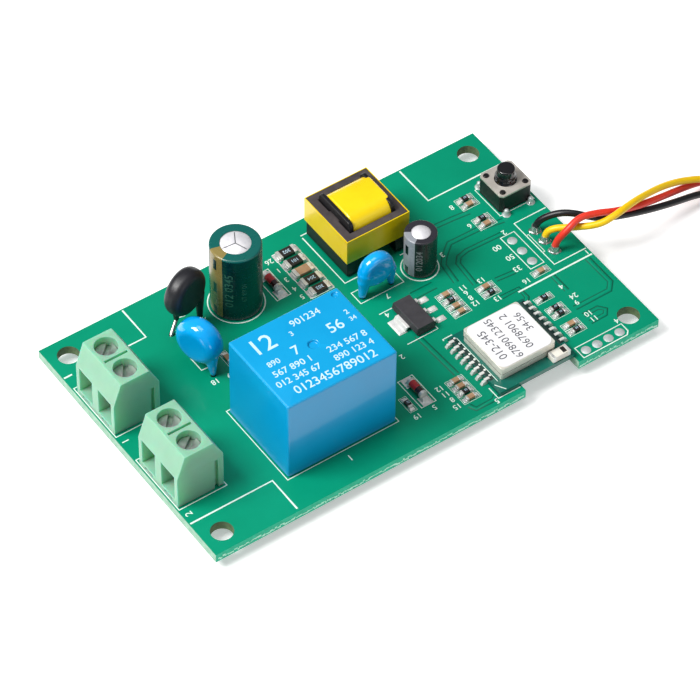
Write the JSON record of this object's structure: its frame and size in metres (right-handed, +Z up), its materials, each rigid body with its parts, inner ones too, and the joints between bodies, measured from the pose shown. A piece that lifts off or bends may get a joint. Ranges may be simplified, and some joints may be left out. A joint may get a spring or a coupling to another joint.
{
  "type": "smart switch module",
  "caption": "Open relay switch board with mains supply, radio module, push button, two screw terminal blocks with rising clamps, and a three-wire lead.",
  "frame": {"origin": "middle of the board's outline, on the surface that the solder joints stand on", "axes": "+X along the board's long edge, from the screw terminals to the push button; +Y along the short edge, from the relay's side to the transformer's side; +Z up, out of the parts' side"},
  "size_m": [0.1236, 0.0703, 0.0187],
  "materials": {
    "board_green": "green solder mask with white legend",
    "terminal_green": "pale green moulded polyamide",
    "screw_steel": "zinc plated steel",
    "contact_metal": "tin plated copper alloy",
    "relay_blue": null,
    "relay_base": "dark blue moulded base",
    "bobbin_black": "black moulded bobbin",
    "copper_wire": "enamelled copper winding",
    "iron": "plated soft iron",
    "contact_brass": "springy copper alloy with silver contacts",
    "aluminium": "bare drawn aluminium",
    "sleeve_teal": "shrunk film sleeve with a gold stripe",
    "sleeve_black": "shrunk film sleeve with a grey stripe",
    "rubber_plug": "rubber sealing plug",
    "tinned_wire": "tinned copper wire",
    "thermistor_black": "black dipped coating",
    "lacquer_blue": "glossy blue dipped epoxy",
    "ferrite": "dark grey ferrite",
    "tape_yellow": "yellow polyester tape",
    "package_black": "black moulded package",
    "module_board": "dark blue-green small board",
    "shield_nickel": "nickel silver can with a white label",
    "antenna_ceramic": "white ceramic with a dark end",
    "button_black": "black moulded plastic",
    "cover_steel": "stainless steel cover",
    "chip_black": "chip resistors with tinned ends",
    "chip_tan": "chip capacitors with tinned ends",
    "diode_glass": "glass body with metal caps",
    "solder": "shiny solder",
    "wire_black": "black insulation",
    "wire_yellow": "yellow insulation",
    "wire_red": "red insulation",
    "connector_white": "off-white moulded nylon"
  },
  "bodies": {
    "module": {"circuit_board": "board_green", "front_terminal_housing": "terminal_green", "rear_terminal_housing": "terminal_green", "terminal_pins": "contact_metal", "relay_case": "relay_blue", "relay_base": "relay_base", "relay_bobbin": "bobbin_black", "relay_winding": "copper_wire", "relay_core": "iron", "relay_yoke": "iron", "relay_pins": "tinned_wire", "relay_open_contact": "contact_brass", "relay_closed_contact": "contact_brass", "supply_capacitor_can": "aluminium", "supply_capacitor_sleeve": "sleeve_teal", "supply_capacitor_plug": "rubber_plug", "output_capacitor_can": "aluminium", "output_capacitor_sleeve": "sleeve_black", "output_capacitor_plug": "rubber_plug", "capacitor_leads": "tinned_wire", "thermistor_body": "thermistor_black", "thermistor_leads": "tinned_wire", "varistor_body": "lacquer_blue", "varistor_leads": "tinned_wire", "safety_capacitor_body": "lacquer_blue", "safety_capacitor_leads": "tinned_wire", "transformer_core": "ferrite", "transformer_bobbin": "bobbin_black", "transformer_winding": "tape_yellow", "transformer_tape": "tape_yellow", "transformer_pins": "tinned_wire", "regulator_body": "package_black", "regulator_leads": "tinned_wire", "radio_board": "module_board", "radio_joints": "solder", "radio_shield": "shield_nickel", "radio_antenna": "antenna_ceramic", "button_housing": "button_black", "button_cover": "cover_steel", "button_dome": "cover_steel", "button_legs": "tinned_wire", "chip_resistors": "chip_black", "chip_capacitors": "chip_tan", "glass_diodes": "diode_glass", "solder_joints": "solder", "black_wire": "wire_black", "yellow_wire": "wire_yellow", "red_wire": "wire_red", "lead_connector": "connector_white"},
    "screw_1": {"terminal_screw_1": "screw_steel"},
    "screw_2": {"terminal_screw_2": "screw_steel"},
    "screw_3": {"terminal_screw_3": "screw_steel"},
    "screw_4": {"terminal_screw_4": "screw_steel"},
    "clamp_1": {"terminal_clamp_1": "contact_metal"},
    "clamp_2": {"terminal_clamp_2": "contact_metal"},
    "clamp_3": {"terminal_clamp_3": "contact_metal"},
    "clamp_4": {"terminal_clamp_4": "contact_metal"},
    "relay_arm": {"relay_armature": "iron", "relay_contact_blade": "contact_brass"},
    "button": {"button_plunger": "button_black"}
  },
  "joints": [
    {"name": "turn_screw_1", "type": "hinge", "parent": "module", "child": "screw_1", "pos_m": [-0.0358, -0.01079, 0.0121], "axis": [0, 0, 1], "range_deg": [-1800, 0]},
    {"name": "raise_clamp_1", "type": "slide", "parent": "module", "child": "clamp_1", "axis": [0, 0, 1], "range_m": [0, 0.00225]},
    {"name": "turn_screw_2", "type": "hinge", "parent": "module", "child": "screw_2", "pos_m": [-0.0358, -0.00571, 0.0121], "axis": [0, 0, 1], "range_deg": [-1800, 0]},
    {"name": "raise_clamp_2", "type": "slide", "parent": "module", "child": "clamp_2", "axis": [0, 0, 1], "range_m": [0, 0.00225]},
    {"name": "turn_screw_3", "type": "hinge", "parent": "module", "child": "screw_3", "pos_m": [-0.0358, 0.00596, 0.0121], "axis": [0, 0, 1], "range_deg": [-1800, 0]},
    {"name": "raise_clamp_3", "type": "slide", "parent": "module", "child": "clamp_3", "axis": [0, 0, 1], "range_m": [0, 0.00225]},
    {"name": "turn_screw_4", "type": "hinge", "parent": "module", "child": "screw_4", "pos_m": [-0.0358, 0.01104, 0.0121], "axis": [0, 0, 1], "range_deg": [-1800, 0]},
    {"name": "raise_clamp_4", "type": "slide", "parent": "module", "child": "clamp_4", "axis": [0, 0, 1], "range_m": [0, 0.00225]},
    {"name": "press_button", "type": "slide", "parent": "module", "child": "button", "axis": [0, 0, 1], "range_m": [-0.00025, 0], "stiffness_N_per_m": 400, "deforming": ["button_dome"]},
    {"name": "pull_relay_arm", "type": "hinge", "parent": "module", "child": "relay_arm", "pos_m": [-0.02115, -0.01005, 0.0145], "axis": [0, 1, 0], "range_deg": [0, 4.1], "stiffness_Nm_per_rad": 0.02}
  ],
  "couplings": [
    {"joint": "turn_screw_1", "follows": "raise_clamp_1", "rad_per_m": -13960},
    {"joint": "turn_screw_2", "follows": "raise_clamp_2", "rad_per_m": -13960},
    {"joint": "turn_screw_3", "follows": "raise_clamp_3", "rad_per_m": -13960},
    {"joint": "turn_screw_4", "follows": "raise_clamp_4", "rad_per_m": -13960}
  ]
}
